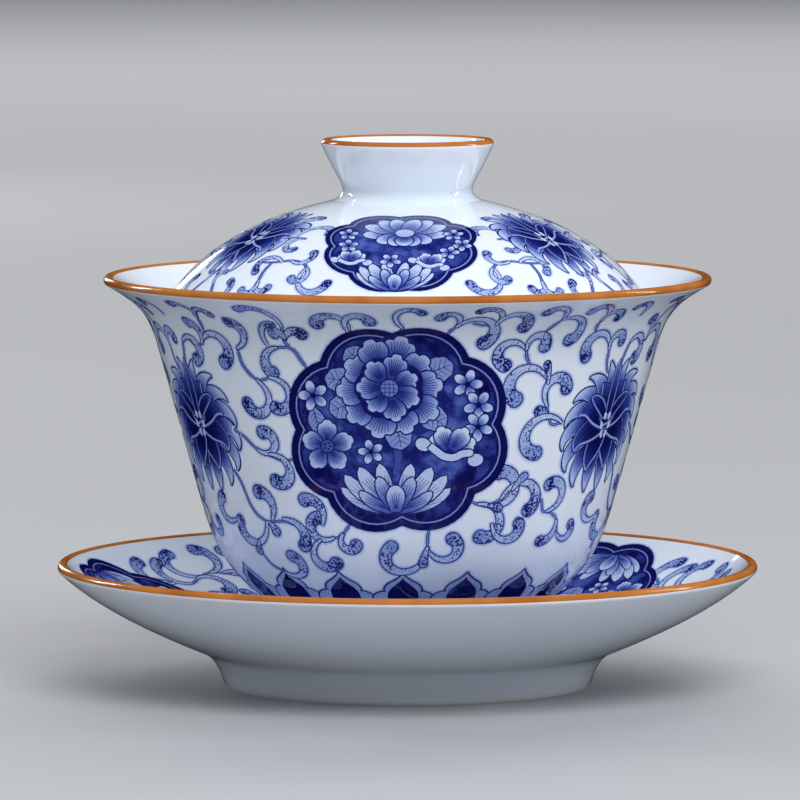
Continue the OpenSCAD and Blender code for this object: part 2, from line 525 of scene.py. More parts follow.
def wash(strength, stipple=0.0, mottle=0.0):
    return lambda places: np.tile([strength, stipple, mottle], (len(places), 1))


def fading(near, far, start, end, centre=0, mottle=0.0):
    """Wash that changes between two distances from a centre."""

    def paint(places):
        t = np.clip((abs(places - centre) - start) / (end - start), 0, 1)
        t = t * t * (3 - 2 * t)
        return np.c_[near + (far - near) * t, 0 * t, 0 * t + mottle]

    return paint


def moved(shapes, place=0, angle=0.0, size=1.0):
    """Shapes scaled and turned about the origin, then moved."""
    step = size * heading(angle)
    return [
        (outline * step + place, lambda p, paint=paint: paint((p - place) / step))
        for outline, paint in shapes
    ]


def grown(outline, margin):
    """An outline moved outwards by a margin."""
    run = np.roll(outline, -1) - np.roll(outline, 1)
    return outline - 1j * margin * run / np.maximum(abs(run), 1e-6)


def drawn(outline, paint, line=LINE, ink=INK):
    """A shape with a line round it."""
    return [(grown(outline, line), wash(ink)), (outline, paint)]


def bleeding(outline, width, strength):
    """Wash that fades out with the distance from an outline."""
    ahead = np.roll(outline, -1) - outline

    def paint(places):
        gap = places[:, None] - outline[None, :]
        share = np.clip((gap * ahead.conj()).real / np.maximum(abs(ahead) ** 2, 1e-9), 0, 1)
        near = np.clip(1 - abs(gap - share * ahead).min(1) / width, 0, 1)
        return np.c_[strength * near**1.5, 0 * near, 0 * near]

    return paint


def oval(length, width, steps=14):
    t = 2 * np.pi * np.arange(steps) / steps
    return length / 2 * np.cos(t) + 1j * width / 2 * np.sin(t)


def lobed(count, radius, bulge, first=0.0, steps=10):
    """Outline of round lobes that meet in cusps on a circle."""
    chord = radius * math.sin(math.pi / count)
    rise = bulge - radius * math.cos(math.pi / count)
    arc_r = (chord**2 + rise**2) / (2 * rise)
    reach = 2 * math.atan2(rise, chord)
    t = np.linspace(-reach, reach, steps, endpoint=False)
    lobe = bulge - arc_r + arc_r * np.exp(1j * t)
    return np.concatenate([lobe * heading(first + 360 * (k + 0.5) / count) for k in range(count)])


def petal(length, width, lobes=1, notch=0.0, foot=0.3):
    """Outline of a petal with a broad tip, cut into lobes."""
    t = np.linspace(0, 1, 12 + 8 * (lobes - 1))
    cuts = np.zeros(len(t))
    for k in range(1, lobes):
        cuts += np.exp(-(((t - k / lobes) / 0.055) ** 2))
    turn = np.radians(230 * (t - 0.5))
    round_tip = 0.44 * length * np.cos(turn) + 0.5j * width * np.sin(turn)
    tip = 0.56 * length + round_tip * (1 - notch * cuts)
    side_t = np.linspace(0, 1, 5)[:-1]
    root = -0.5j * foot * width
    bulge = 0.22 * length - 0.36j * width
    side = (1 - side_t) ** 2 * root + 2 * side_t * (1 - side_t) * bulge + side_t**2 * tip[0]
    return np.concatenate([side, tip, side.conj()[::-1]])


def bent(length, turn, ease=1.5, steps=16):
    """Path from the origin along x that turns, faster towards its end."""
    t = np.linspace(0, 1, steps)
    hops = heading(turn * t**ease)
    path = np.concatenate([[0], np.cumsum((hops[1:] + hops[:-1]) / 2)])
    return path * length / (steps - 1)


def smooth(places, steps=5):
    """Open path through some places."""
    p = np.array(places, complex)
    p = np.concatenate([[2 * p[0] - p[1]], p, [2 * p[-1] - p[-2]]])
    t = np.arange(steps) / steps
    runs = []
    for a, b, c, d in zip(p, p[1:], p[2:], p[3:]):
        square = 2 * a - 5 * b + 4 * c - d
        cube = 3 * b - a - 3 * c + d
        runs.append(0.5 * (2 * b + (c - a) * t + square * t**2 + cube * t**3))
    return np.concatenate(runs + [[p[-2]]])


def stroke(path, widths, round_end=True):
    """Outline of a brush stroke along a path."""
    run = np.gradient(path)
    run = run / abs(run)
    side = -0.5j * run * widths
    cap = np.array([])
    if round_end:
        end_width = np.broadcast_to(widths, path.shape)[-1]
        cap = path[-1] + 0.5 * end_width * run[-1] * heading(np.arange(-72, 90, 18))
    return np.concatenate([path + side, cap, (path - side)[::-1]])


def hair(start, end, width=0.15):
    """Fine straight line, thinner at its end."""
    side = -0.5j * width * (end - start) / abs(end - start)
    return np.array([start + side, end + 0.5 * side, end - 0.5 * side, start - side])


def ribs(length, width, count, ink=0.72, low=0.12, high=0.8, thick=0.15):
    """Fine lines that fan out along a petal."""
    shapes = []
    for k in range(count):
        lean = (2 * k + 1) / count - 1
        start = low * length + 0.10j * lean * width
        end = (high - 0.14 * abs(lean)) * length + 0.36j * lean * width
        shapes.append((hair(start, end, thick), wash(ink)))
    return shapes


# ---- Motifs of the medallions ----


def leaf(length, width):
    outline = petal(length, width, 5, 0.07, 0.15)
    shapes = drawn(outline, wash(0.30))
    shapes.append((hair(0.05 * length + 0j, 0.93 * length + 0j, 0.2), wash(0.85)))
    for k in range(4):
        root = (0.2 + 0.17 * k) * length
        for side in (1, -1):
            end = root + 0.2 * length + side * 0.36j * width
            shapes.append((hair(root + 0j, end, 0.14), wash(0.80)))
    return shapes


def peony_ring(count, ring, length, width):
    """Ring of petals over a dark ground, each a little longer or shorter than the last."""
    shapes = [(lobed(7, 5.2, 5.7), wash(0.86))]
    tint = fading(0.66, 0.18, 0.2 * length, length)
    one = drawn(petal(length, width, 3, 0.26), tint, 0.28)
    one += ribs(length, width, 7, 0.76, high=0.86, thick=0.18)
    for k in range(count):
        angle = 76 - 360 / count * k
        root = (ring + 0.4 * math.cos(2.1 * k) - length) * heading(angle)
        shapes += moved(one, root, angle, 1 + 0.06 * math.cos(2.6 * k))
    return shapes


def peony():
    """Double flower with a netted heart, among veined leaves."""
    shapes = [(lobed(11, 8.6, 9.6), wash(0.78, mottle=0.3))]
    leaf_length = 5.4
    leaf_tips = ((136, 9.6), (171, 10.6), (203, 10.6), (-36, 11.0), (-80, 10.6), (22, 11.0))
    for angle, reach in leaf_tips:
        root = (reach - leaf_length) * heading(angle)
        shapes += moved(leaf(leaf_length, 4.2), root, angle)
    shapes += peony_ring(10, 8.6, 5.2, 4.8)
    shapes += peony_ring(7, 5.3, 4.1, 3.6)
    shapes += drawn(oval(2.8, 2.8, 18), wash(0.40))
    for k in (-1, 0, 1):
        level = hair(-1.3 + 0.7j * k, 1.3 + 0.7j * k, 0.16)
        upright = hair(0.7 * k - 1.3j, 0.7 * k + 1.3j, 0.16)
        shapes += [(level, wash(0.78)), (upright, wash(0.78))]
    return shapes


def five(shapes, gap):
    """Five copies of a petal round the origin, the first one upright."""
    ring = []
    for k in range(5):
        angle = 90 + 72 * k
        ring += moved(shapes, gap * heading(angle), angle)
    return ring


def blossom(radius):
    """Small white flower of five petals."""
    tint = fading(0.52, 0.13, 0.1 * radius, 0.6 * radius, -0.43 * radius)
    shapes = five(drawn(oval(0.86 * radius, 0.60 * radius), tint), 0.62 * radius)
    return shapes + [(oval(0.34 * radius, 0.34 * radius, 8), wash(0.92))]


def wild_rose(radius):
    """Flower of five broad ribbed petals round a dotted heart."""
    length = 0.84 * radius
    tint = fading(0.58, 0.13, 0.2 * radius, 0.8 * radius)
    one = drawn(petal(length, 0.70 * radius, 3, 0.15), tint)
    shapes = five(one + ribs(length, 0.64 * radius, 6, high=0.75), 0.16 * radius)
    shapes += drawn(oval(0.46 * radius, 0.46 * radius), wash(0.55))
    dot = oval(0.09 * radius, 0.09 * radius, 6)
    for k in range(5):
        shapes.append((dot + 0.12 * radius * heading(72 * k), wash(0.9)))
    return shapes


def cloud_flower():
    """Flower from the side: ribbed petals over a pale curled rim."""
    shapes = []
    for angle, length in ((150, 3.4), (30, 4.0), (118, 4.1), (62, 4.4)):
        tint = fading(0.62, 0.08, 0.2 * length, 0.9 * length)
        one = drawn(petal(length, 3.0, 3, 0.16, 0.5), tint)
        one += ribs(length, 2.7, 5)
        shapes += moved(one, 0.3j + 0.5 * math.cos(math.radians(angle)), angle)
    bead = drawn(oval(2.6, 2.1), wash(0.14))
    shapes += moved(bead, 4.4 - 1.0j, 20)
    shapes += moved(bead, -4.4 + 0.6j, -20)
    rim = smooth([-3.3 + 0.5j, -2.1 - 0.3j, -0.8 - 1.0j, 0.8 - 1.0j, 2.1 - 0.2j, 3.3 + 0.1j])
    return shapes + drawn(stroke(rim, 1.15), wash(0.13))


# Lotus petals from the back to the front: (lean, length, width), as shares of the flower's height
LOTUS_PETALS = [
    (84, 1.16, 0.28),
    (68, 1.22, 0.36),
    (22, 1.00, 0.36),
    (48, 1.12, 0.40),
    (76, 0.80, 0.28),
    (32, 0.76, 0.34),
]


def lotus(height, spread=1.0):
    """Open lotus from the side, with pointed petals that bend upwards."""
    shapes = []
    t = np.linspace(0, 1, 14)
    swell = (1 - t) ** 0.55 * (0.30 + 1.5 * t)
    tint = fading(0.56, 0.13, 0.1 * height, 0.85 * height)
    for lean, length, width in LOTUS_PETALS:
        for side in (1, -1):
            path = bent(length * height, (spread - 1.5) * side * lean, 1.3, 14)
            one = drawn(stroke(path, width * height * swell, False), tint)
            for shift in (-0.75, -0.25, 0.25, 0.75):
                aside = 0.13j * shift * height * heading(-0.4 * side * lean)
                one.append((hair(path[3], path[10] + aside, 0.15), wash(0.70)))
            shapes += moved(one, 0, 90 + side * spread * lean)
    bud_h = 0.52 * height
    bud = drawn(petal(bud_h, 0.34 * height, foot=0.5), fading(0.5, 0.14, 0.2, 0.45 * height))
    return shapes + moved(bud + ribs(bud_h, 0.28 * height, 4), 0, 90)


def medallion_ground(radius, wide=1.055, high=1.03):
    """Eight-lobed panel: a dark border, a pale line and a clouded blue field."""
    shapes = []
    edge = 0.067 * radius
    for inset, paint in (
        (0.0, wash(0.93)),
        (edge, wash(0.34)),
        (edge + 0.25, wash(0.86)),
        (edge + 0.75, fading(0.66, 0.82, 0.6 * radius, 0.88 * radius, mottle=1.0)),
    ):
        outline = lobed(8, 0.905 * radius - 1.15 * inset, radius - inset, 2)
        outline = wide * outline.real + 1j * high * outline.imag
        shapes.append((outline, paint))
    return shapes


def bowl_medallion():
    shapes = medallion_ground(17.9)
    stem = smooth([-0.6 - 1.5j, 0.1 - 4.5j, -0.3 - 7.5j])
    shapes.append((stroke(stem, 1.0), wash(0.58)))
    shapes += moved(lotus(8.6), -0.4 - 14.2j)
    shapes += moved(peony(), -1.2 + 6.9j)
    shapes += moved(leaf(4.4, 2.8), -13.9 + 3.4j, -75)
    shapes += moved(blossom(2.5), -13.8 + 5.4j, 30 * -13.8)
    for x, y in ((11.4, 7.5), (13.2, 3.9), (13.1, 0.2)):
        shapes += moved(blossom(2.4), x + 1j * y, 30 * x)
    shapes += moved(blossom(2.0), -4.3 - 4.0j, 30 * -4.3)
    shapes += moved(wild_rose(4.5), -11.5 - 3.2j)
    shapes += moved(cloud_flower(), 8.4 - 3.9j, -8)
    return shapes


def lily(length):
    """Open water lily with a round heart."""
    shapes = []
    pairs = ((92, 0.95), (66, 1.0), (120, 0.7), (40, 0.9), (18, 0.8), (150, 0.55))
    petals = [(side * lean, share) for lean, share in pairs for side in (1, -1)]
    for lean, share in petals + [(180, 0.5)]:
        reach = share * length
        one = drawn(petal(reach, 0.40 * length), fading(0.62, 0.14, 0.15 * length, 0.95 * reach))
        one += ribs(reach, 0.34 * length, 4)
        shapes += moved(one, 0, 90 + lean)
    heart = drawn(oval(0.42 * length, 0.36 * length), wash(0.2))
    return shapes + moved(heart, 0.06j * length)


def lid_medallion():
    shapes = medallion_ground(12.2, 1.09, 0.94)
    shapes += moved(lotus(6.4, 0.95), -0.6 - 10.6j)
    shapes += moved(lily(7.2), 0.6 + 3.7j)
    for x, y in ((-8.7, 3.5), (-8.5, 0.0), (8.6, 3.4), (10.1, 0.2), (8.0, -1.9), (-1.4, -3.9)):
        shapes += moved(blossom(1.65), x + 1j * y, 25 * x)
    shapes += moved(cloud_flower(), -7.9 - 4.1j, 4, 0.62)
    return shapes + moved(cloud_flower(), 4.8 - 4.7j, -10, 0.62)


# ---- Motifs of the ground ----

OUTER_PETALS = 16  # of a bloom
PETAL_SHAPES = 3  # in each of them


def hooked_petals(radius, count, length, width, hook, margin, paint):
    """Ring of pointed petals whose tips hook downwards, each with a pale edge on its underside."""
    t = np.linspace(0, 1, 20)
    blade = (1 - t) * (0.34 + 2.6 * t)
    shapes = []
    for k in range(count)[::-1]:
        angle = 90 + (k // 2 + 0.5) * (1 - 2 * (k % 2)) * 360 / count
        turn = -hook * math.cos(math.radians(angle))
        stretch = 1 + 0.18 * abs(turn) / hook
        path = bent(stretch * length * radius, turn, 2.8, 20) * heading(angle - 0.16 * turn)
        outline = stroke(path, width * radius * blade, False)
        shapes += drawn(outline, wash(0.27), 0.27)
        shapes.append((grown(outline, -margin) + 0.9j * margin, paint))
    return shapes


def bloom(radius):
    """Open flower of long hooked petals, dark at its heart."""
    outer = fading(0.90, 0.12, 0.42 * radius, 1.0 * radius)
    inner = fading(0.95, 0.64, 0.28 * radius, 0.72 * radius)
    shapes = hooked_petals(radius, OUTER_PETALS, 1.0, 0.33, 140, 0.12, outer)
    shapes += hooked_petals(radius, 8, 0.70, 0.44, 110, 0.20, inner)
    t = np.linspace(0, 1, 12)
    blade = (1 - t) ** 0.6 * (0.5 + 1.3 * t)
    for angle, turn, length in ((122, 40, 0.56), (58, -40, 0.56), (90, 0, 0.86)):
        outline = stroke(bent(length * radius, turn, 1, 12), 0.25 * radius * blade, False)
        one = drawn(outline, wash(0.32), 0.25)
        one.append((grown(outline, -0.24), fading(0.92, 0.50, 0.1 * radius, 0.80 * radius)))
        shapes += moved(one, 0.15 * radius * heading(angle), angle)
    for y, gap in ((1.6, 0.6), (0.0, 1.1), (-1.5, 0.6)):
        for side in (1, -1):
            bead = oval(1.4, 0.75) * heading(90 - 14 * side)
            shapes.append((bead + side * gap + 1j * y, wash(0.12)))
    return shapes


def tendril(reach, turn, head, line):
    """Stippled shoot from the origin to `reach`, with a thick curled head."""
    path = bent(1.0, turn, 1.35, 26)
    path = path * reach / path[-1]
    t = np.linspace(0, 1, 26)
    widths = 0.30 + (head - 0.30) * t**1.1
    end = path[-1]

    def paint(places):
        t = np.clip(abs(places - end) / (0.9 * abs(reach) + head), 0, 1)
        return np.c_[0.36 - 0.26 * t**0.6, 1 - 0.7 * t, 0 * t]

    return drawn(stroke(path, widths), paint, line, 0.70)


def lappet(height):
    """Pointed leaf of a border, with a shoulder and a pale margin round its dark fill."""
    tip = smooth([2.75 - 4.0j, 2.95 - 3.4j, 2.5 - 2.4j, 1.25 - 1.45j, 0.35 - 0.6j, 0j])
    foot = 4.7 - 1j * height
    shoulder = smooth([foot, 4.85 - 6.0j, 4.6 - 4.9j, 4.1 - 4.4j, 3.3 - 4.05j, 2.8 - 4.1j])
    half = np.concatenate([shoulder, tip[1:]])
    outline = np.concatenate([half, -half[:-1].conj()[::-1]])
    fill = smooth([2.6 - 1j * height, 2.5 - 5.2j, 2.2 - 3.7j, 1.3 - 2.5j, 0.45 - 1.6j, -0.9j])
    dark = np.concatenate([fill, -fill[:-1].conj()[::-1]])
    return drawn(outline, wash(0.24), 0.30, 0.85) + [(dark, wash(0.92, mottle=0.3))]


# ---- Drawing on a turned surface ----


class Surface:
    """A painted stretch of a profile, unrolled. Across it x is an arc at its middle radius, and up
    it y is the distance along the profile."""

    def __init__(self, path):
        self.path = path
        self.s = np.r_[0, np.cumsum(np.hypot(*np.diff(path, axis=0).T))]
        run = np.gradient(path, self.s, axis=0)
        outwards = np.c_[run[:, 1], -run[:, 0]]
        self.outwards = outwards / np.hypot(*outwards.T)[:, None]
        self.middle_r = (path[:, 0].max() + path[:, 0].min()) / 2

    def radius(self, s):
        return np.interp(s, self.s, self.path[:, 0])

    def at(self, angle, s):
        return math.radians(angle) * self.middle_r + 1j * s

    def draw(self, shapes, angle, s, turn=0.0, size=1.0):
        """Shapes laid on the surface with their origin at an angle and a distance."""
        middle = math.radians(angle)

        def lay(p):
            y = s + p.imag
            return (middle + p.real / self.radius(y)) * self.middle_r + 1j * y

        def lift(q):
            turn = q.real / self.middle_r - middle
            return turn * self.radius(q.imag) + 1j * (q.imag - s)

        laid = moved(shapes, 0, turn, size)
        return [(lay(outline), lambda q, paint=paint: paint(lift(q))) for outline, paint in laid]

    def raised(self, places, height):
        """Points at some height over unrolled places, in metres, and the normals there."""
        turn = places.real / self.middle_r
        s = np.clip(places.imag, 0, self.s[-1])
        r, z = (np.interp(s, self.s, self.path[:, k]) for k in (0, 1))
        out_r, out_z = (np.interp(s, self.s, self.outwards[:, k]) for k in (0, 1))
        spin = np.c_[np.sin(turn), -np.cos(turn)]
        normals = np.c_[spin * out_r[:, None], out_z]
        points = np.c_[spin * r[:, None], z] + height * normals
        return points * MM, normals


GRID = 1.5  # spacing of the points that let a wide shape follow the curve
TOP, BOTTOM = 0.03, -0.02  # faces of the painted shell, from the surface of the glaze


def inside(outline, places):
    """Which places an outline goes round counter-clockwise."""
    p, q = outline[None, :], np.roll(outline, -1)[None, :]
    c = places[:, None]
    left = ((q - p).conj() * (c - p)).imag
    up = (p.imag <= c.imag) & (q.imag > c.imag) & (left > 0)
    down = (p.imag > c.imag) & (q.imag <= c.imag) & (left < 0)
    return up.sum(1) > down.sum(1)


def owners(shapes, centres):
    """The last shape that covers each centre, or -1."""
    owner = np.full(len(centres), -1)
    order = np.argsort(centres.real)
    xs = centres.real[order]
    for number, (outline, _) in enumerate(shapes):
        first, last = np.searchsorted(xs, (outline.real.min(), outline.real.max()))
        near = order[first:last]
        ys = centres.imag[near]
        near = near[(ys >= outline.imag.min()) & (ys <= outline.imag.max())]
        owner[near[inside(outline, centres[near])]] = number
    return owner


def triangles_of(shapes):
    """Triangles along every outline, and the shape that each shows."""
    places, edges = [], []
    for outline, _ in shapes:
        first, count = len(places), len(outline)
        places.extend(outline)
        edges.extend((first + k, first + (k + 1) % count) for k in range(count))
    drawing = np.array(places)
    xs = np.arange(drawing.real.min(), drawing.real.max(), GRID)
    ys = np.arange(drawing.imag.min(), drawing.imag.max(), GRID)
    places.extend((xs[:, None] + 1j * ys[None, :]).ravel())
    flat = [Vector((p.real, p.imag)) for p in places]
    found, _, faces, _, _, _ = delaunay_2d_cdt(flat, edges, [], 0, 1e-4, False)
    found = np.array([v[:] for v in found])
    found = found[:, 0] + 1j * found[:, 1]
    faces = np.array(faces)
    owner = owners(shapes, found[faces].mean(1))
    painted = owner >= 0
    return found, faces[painted], owner[painted]


def painted_corners(shapes, places, faces, owner):
    """The paint at each triangle's three corners."""
    colours = np.zeros((len(faces), 3, 3))
    order = np.argsort(owner, kind="stable")
    starts = np.searchsorted(owner[order], np.arange(len(shapes) + 1))
    for number, (_, paint) in enumerate(shapes):
        mine = order[starts[number]:starts[number + 1]]
        if len(mine):
            colours[mine] = paint(places[faces[mine]].ravel()).reshape(-1, 3, 3)
    return colours


def rim_edges(faces):
    """Edges that only one triangle has, as (face, corner)."""
    tails, heads = faces, np.roll(faces, -1, axis=1)
    keys = np.minimum(tails, heads) * (faces.max() + 1) + np.maximum(tails, heads)
    _, where, counts = np.unique(keys.ravel(), return_inverse=True, return_counts=True)
    alone = counts[where.ravel()].reshape(faces.shape) == 1
    return np.nonzero(alone)


def polygon_mesh(name, points, corners, sizes):
    """A smooth mesh of faces with so many corners each."""
    mesh = bpy.data.meshes.new(name)
    mesh.vertices.add(len(points))
    mesh.vertices.foreach_set("co", points.ravel())
    mesh.loops.add(len(corners))
    mesh.loops.foreach_set("vertex_index", corners)
    mesh.polygons.add(len(sizes))
    mesh.polygons.foreach_set("loop_start", np.r_[0, np.cumsum(sizes)[:-1]])
    mesh.polygons.foreach_set("loop_total", sizes)
    mesh.polygons.foreach_set("use_smooth", np.full(len(sizes), True))
    mesh.update(calc_edges=True)
    return mesh


def fitted(places):
    """Places as they lie in a box that just holds them, from 0 to 1."""
    spread = places - places.real.min() - 1j * places.imag.min()
    return np.c_[spread.real / spread.real.max(), spread.imag / spread.imag.max()]


def shell(name, surface, drawing, angle):
    """The painting as a thin closed shell on the surface, turned round the axis by an angle."""
    places, faces, colours = drawing
    used, faces = np.unique(faces, return_inverse=True)
    faces = faces.reshape(-1, 3)
    places = places[used]
    count = len(places)
    turned_places = places + math.radians(angle) * surface.middle_r
    top, normals = surface.raised(turned_places, TOP)
    bottom, _ = surface.raised(turned_places, BOTTOM)

    rim_faces, rim_corners = rim_edges(faces)
    next_corners = (rim_corners + 1) % 3
    tails, heads = faces[rim_faces, rim_corners], faces[rim_faces, next_corners]
    walls = np.c_[heads, tails, tails + count, heads + count]
    corners = np.concatenate([faces.ravel(), faces[:, ::-1].ravel() + count, walls.ravel()])
    sizes = np.r_[np.full(2 * len(faces), 3), np.full(len(walls), 4)]
    mesh = polygon_mesh(name, np.vstack([top, bottom]), corners, sizes)

    tail_tones, head_tones = colours[rim_faces, rim_corners], colours[rim_faces, next_corners]
    wall_tones = np.stack([head_tones, tail_tones, tail_tones, head_tones], axis=1)
    tones = np.vstack([part.reshape(-1, 3) for part in (colours, colours[:, ::-1], wall_tones)])
    tones = np.c_[tones, np.ones(len(tones))].ravel()
    mesh.attributes.new("cobalt", "FLOAT_COLOR", "CORNER").data.foreach_set("color", tones)
    mesh.normals_split_custom_set_from_vertices(np.vstack([normals, -normals]).tolist())
    return piece_of(mesh, COBALT_BLUE, fitted(places)[corners % count])


def painting(body, path, shapes_on, first_angle):
    """Three copies of a drawing on a body's surface, a third of a turn apart."""
    surface = Surface(path)
    shapes = shapes_on(surface)
    places, faces, owner = triangles_of(shapes)
    drawing = (places, faces, painted_corners(shapes, places, faces, owner))
    for k in range(3):
        piece = shell(f"{body}_painting_{k + 1}", surface, drawing, first_angle + 120 * k)
        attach(piece, body)


def tendrils(surface, shoots, sides=(1,), line=0.23):
    shapes = []
    for side in sides:
        for angle, s, head_angle, head_s, turn, head in shoots:
            width = math.radians(head_angle - angle) * surface.radius((s + head_s) / 2)
            reach = side * width + 1j * (head_s - s)
            shapes += surface.draw(tendril(reach, side * turn, head, line), side * angle, s)
    return shapes


def stems(surface, lines, sides=(1,), width=0.14):
    """Fine double lines through (angle, distance) places."""
    shapes = []
    for side in sides:
        for line in lines:
            path = smooth([surface.at(side * angle, s) for angle, s in line])
            shapes += drawn(stroke(path, width), wash(0.30), 0.20, 0.66)
    return shapes


def halo(shapes, width, strength):
    """The cobalt that has bled out of some shapes into the glaze round them. A shape that lies
    within the one before it has none."""
    bled = []
    for (earlier, _), (outline, _) in zip([shapes[-1]] + shapes, shapes):
        if not inside(earlier, outline[:1])[0]:
            bled.append((grown(outline, width), bleeding(outline, width, strength)))
    return bled


def with_bleed(ground, flower, medallion, width=BLEED, strength=0.24):
    """A whole drawing, over what has bled from its scrolls and from the edges of its flowers."""
    edges = ground + flower[:PETAL_SHAPES * OUTER_PETALS] + medallion[:1]
    return halo(edges, width, strength) + ground + flower + medallion


# ---- The three paintings ----
# Each is drawn for a third of a turn. Angles are from the middle of a medallion, in degrees, and
# distances along the profile are in millimetres. A stem is a list of (angle, distance). A shoot is
# (root's angle and distance, head's angle and distance, turn, head's width).

BOTH_SIDES = (1, -1)
BOWL_STEMS = [
    [(10.5, 54), (11.5, 55.5), (12.5, 56.3)],
    [(16, 57.2), (18.5, 56.6), (21, 56.6)],
    [(31, 53.5), (33, 54.6), (36, 57.4)],
    [(47.5, 53.5), (46.8, 55.5), (47.5, 57.6)],
    [(31.5, 48.4), (30, 50), (29.5, 51.5)],
    [(43, 38.6), (39.5, 38.6), (37.5, 41.6), (36.5, 44.8), (36, 46.5)],
    [(55.5, 46.5), (54.3, 48.5), (54, 50.6)],
    [(16, 27), (20, 25.6), (24, 25), (28, 26)],
    [(40.8, 25.6), (42, 23.6), (43.5, 23.3), (45, 23.1)],
    [(45, 23.1), (47.6, 22), (49.5, 19.2)],
    [(9.5, 22.6), (8.2, 20.6), (8, 17.7)],
    [(-10.5, 54), (-10, 55)],
    [(1, 55.6), (1.5, 56.1)],
    [(-19, 46.4), (-21.6, 49.4), (-24, 51.8), (-28.5, 51.8)],
    [(-24.5, 52.2), (-25.4, 53.4), (-24.8, 55.8)],
    [(-38.5, 51.3), (-37.8, 48.4), (-34.5, 46.1), (-31, 46.6), (-29.4, 48)],
    [(-26.5, 32.8), (-31, 32.4), (-35, 33.2), (-38.5, 34.1), (-42, 36), (-45, 37)],
    [(-49, 30), (-47, 28), (-44.6, 23.6), (-40, 21.6), (-34, 21.8), (-28.5, 21)],
    [(-46.5, 17.4), (-43.5, 13.9), (-39, 12.4)],
    [(-12, 23.6), (-14, 21.4), (-17, 19.6), (-22.5, 19)],
    [(-60, 47), (-59, 49.6), (-58, 51.6)],
    [(-50, 51.6), (-53, 51.2), (-55, 52.4)],
    [(-47.6, 53.5), (-47, 56.5), (-45.5, 58.6)],
]

BOWL_SHOOTS = [
    (12.5, 56.3, 9, 58.8, 190, 1.6),
    (12.5, 56.3, 19, 53, -210, 2.1),
    (21, 56.6, 16.5, 60.6, 160, 1.5),
    (21, 56.6, 27.5, 55.9, -200, 2),
    (36, 57.4, 31, 59.6, 170, 1.7),
    (36, 57.4, 40, 52.9, -190, 1.9),
    (47.5, 57.6, 42, 59.3, 160, 1.7),
    (47.2, 56.4, 52, 57, -180, 1.6),
    (60, 57, 55, 59.6, 150, 1.5),
    (29.5, 51.5, 24.8, 48.9, 220, 2),
    (29.5, 51.5, 34, 52, -210, 1.9),
    (36, 46.5, 28.5, 43, 205, 2.4),
    (37.5, 41.6, 42.4, 44.6, -215, 2.2),
    (36.6, 45.5, 35.6, 48.8, 25, 1.2),
    (38.2, 39.4, 35.4, 40.8, 70, 1.7),
    (43, 38.6, 36.5, 33.6, 215, 2.2),
    (54, 50.6, 46.5, 49.8, 205, 2.1),
    (54, 50.6, 58, 52, -200, 1.7),
    (23, 25.1, 26.3, 30.6, 215, 2.3),
    (21.5, 25.3, 23, 19.6, -200, 2.1),
    (26.2, 21.8, 34.6, 21.6, 190, 1.9),
    (24.5, 25, 27.4, 24.5, -30, 1.4),
    (28, 26, 36.8, 23.8, -215, 2.1),
    (31, 27.4, 34, 29.7, -20, 1.3),
    (43.5, 23.3, 42.6, 28, 205, 1.9),
    (48, 21.6, 43.3, 18.2, -110, 1.6),
    (49.5, 19.2, 54.7, 20.6, 185, 1.5),
    (67, 21.4, 62, 25, -190, 1.8),
    (8, 17.7, 15.2, 19.4, 215, 2),
    (8, 17.7, -2.2, 18, -225, 2),
    (8.2, 18, 7, 14.9, 15, 1.3),
    (-10, 55, -16.6, 56.9, 190, 2.1),
    (-10, 55, -5.2, 57.6, -200, 1.9),
    (1.5, 56.1, 5.4, 60.2, -195, 1.3),
    (-25, 53.2, -20.8, 54.6, -120, 2),
    (-25, 53.4, -27.2, 54.6, 100, 2.1),
    (-24.8, 55.8, -33, 60.3, 120, 1.6),
    (-29.5, 51.8, -27, 56.4, -130, 1.2),
    (-27.5, 51.8, -29.6, 47.4, 150, 2.1),
    (-38.5, 51.3, -38, 56.4, 150, 2),
    (-50, 51.6, -43.6, 48.7, -215, 2.2),
    (-50, 51.6, -52, 55.6, 120, 1.9),
    (-47, 57, -42, 58.2, -150, 1.6),
    (-46.4, 57.8, -51.5, 60.4, 120, 1.4),
    (-58, 51.6, -54, 48.6, -215, 2),
    (-34.5, 46.1, -38.6, 41.8, -215, 2.1),
    (-31, 46.6, -30.4, 41.4, -200, 2),
    (-38.5, 34.1, -35.7, 37, 235, 2),
    (-35, 33.3, -34, 28.7, -215, 2.2),
    (-38, 21.8, -41, 26.6, 130, 2.2),
    (-39.5, 21.6, -37.3, 20, -20, 1.6),
    (-40, 21.6, -51.3, 21.2, -190, 1.9),
    (-45, 18, -46.3, 16.2, 10, 1.4),
    (-39, 12.4, -33.6, 15.6, 205, 1.9),
    (-18.5, 19.4, -22.6, 22.8, -200, 2.1),
    (-21.5, 21.6, -26, 25.8, 130, 2.1),
    (-34, 22.2, -28.4, 17.7, -130, 2),
    (-22.5, 19, -19, 14.8, 205, 2),
    (-15.6, 20.2, -12.2, 18.2, 205, 1.8),
]


def bowl_shapes(surface):
    ground = []
    for k in range(6):
        ground += surface.draw(lappet(11), 20 * k - 59, 13)
    ground += stems(surface, BOWL_STEMS)
    ground += tendrils(surface, BOWL_SHOOTS)
    flower = surface.draw(bloom(11.2), 60, 37.4)
    medallion = surface.draw(bowl_medallion(), 0, 38.4)
    return with_bleed(ground, flower, medallion)


LID_STEMS = [
    [(46, 12.5), (40, 12.6), (33.5, 13.3), (29, 12.8), (26.5, 11.4)],
    [(40, 12.6), (40.5, 10.4), (40, 8.4)],
    [(46, 19), (41, 19.6), (36, 19.4)],
    [(60, 10.5), (57.6, 7.6), (54.5, 4.6)],
]

